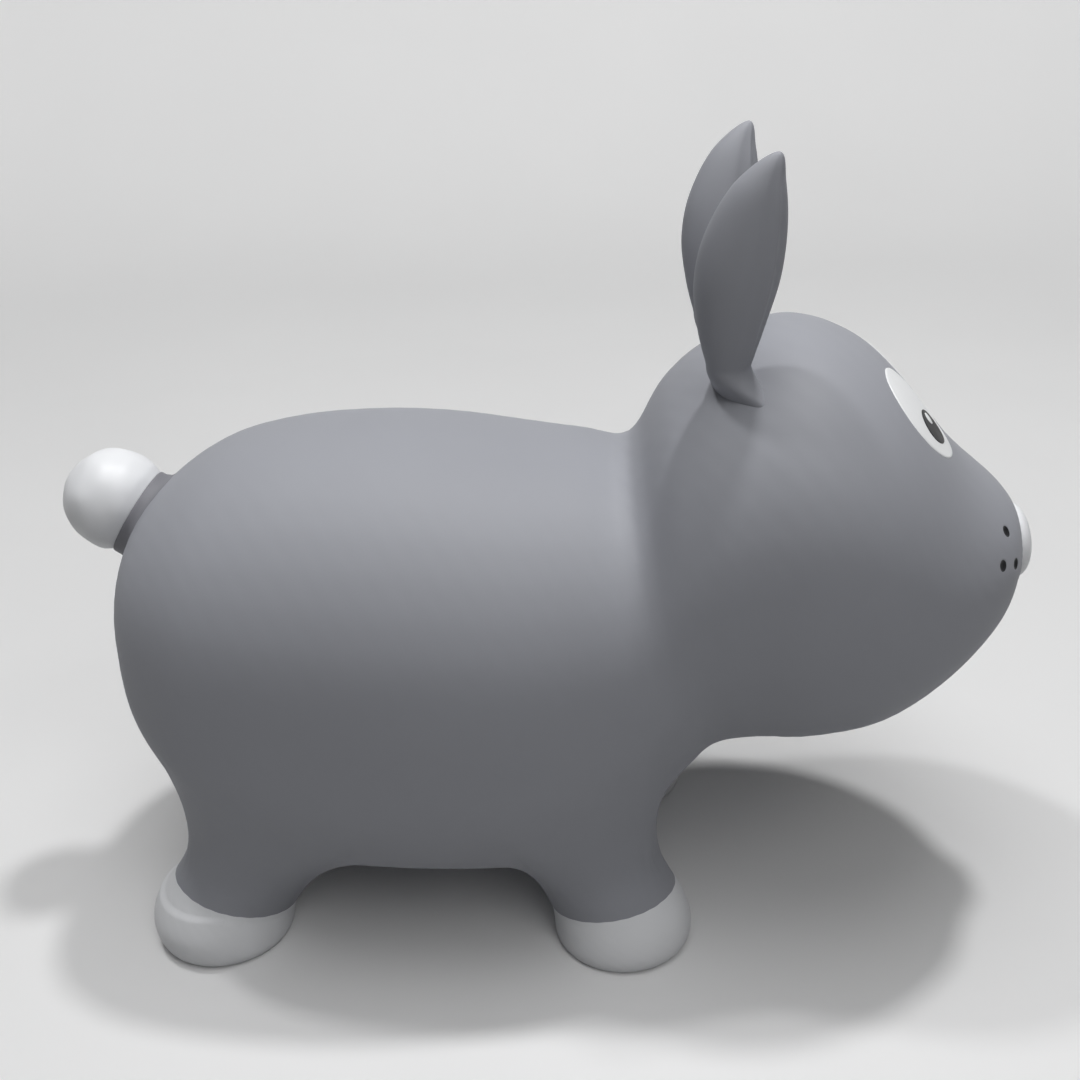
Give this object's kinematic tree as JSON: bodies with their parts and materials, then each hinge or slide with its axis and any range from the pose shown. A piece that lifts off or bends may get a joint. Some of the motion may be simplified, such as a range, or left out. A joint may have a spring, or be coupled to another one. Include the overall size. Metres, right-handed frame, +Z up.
{
  "type": "animal hopper",
  "caption": "Inflatable rabbit-shaped ride-on hopper with a saddle back, big head, white feet, ball tail, bending ears and an air stopper in the belly.",
  "frame": {"origin": "on the floor, under the middle of the bounding box", "axes": "+X towards the nose, +Y towards the animal's left side, +Z up"},
  "size_m": [0.5255, 0.2404, 0.425],
  "materials": {
    "grey_skin": "satin moulded soft vinyl",
    "white_skin": "semi-gloss white paint on soft vinyl",
    "white_print": "gloss print",
    "black_print": "gloss print",
    "stopper": "soft moulded plastic"
  },
  "bodies": {
    "body": {"body_skin": "grey_skin", "front_left_foot": "white_skin", "front_right_foot": "white_skin", "rear_left_foot": "white_skin", "rear_right_foot": "white_skin", "left_ear_root": "grey_skin", "right_ear_root": "grey_skin", "tail_collar": "grey_skin", "tail_ball": "white_skin", "nose": "white_skin", "left_eye_white": "white_print", "right_eye_white": "white_print", "left_pupil": "black_print", "right_pupil": "black_print", "left_eye_glint": "white_print", "right_eye_glint": "white_print", "whisker_dots": "black_print", "valve_seat": "grey_skin"},
    "left_ear": {"left_ear": "grey_skin"},
    "right_ear": {"right_ear": "grey_skin"},
    "stopper": {"valve_plug": "stopper"}
  },
  "joints": [
    {"name": "left_ear_flex", "type": "hinge", "parent": "body", "child": "left_ear", "pos_m": [0.0965, 0.048, 0.329], "axis": [0, 1, 0], "range_deg": [-30, 30], "stiffness_Nm_per_rad": 1.5, "deforming": ["left_ear_root"]},
    {"name": "right_ear_flex", "type": "hinge", "parent": "body", "child": "right_ear", "pos_m": [0.0965, -0.048, 0.329], "axis": [0, 1, 0], "range_deg": [-30, 30], "stiffness_Nm_per_rad": 1.5, "deforming": ["right_ear_root"]},
    {"name": "stopper_pull", "type": "slide", "parent": "body", "child": "stopper", "axis": [0, 0, -1], "range_m": [0, 0.018]}
  ]
}
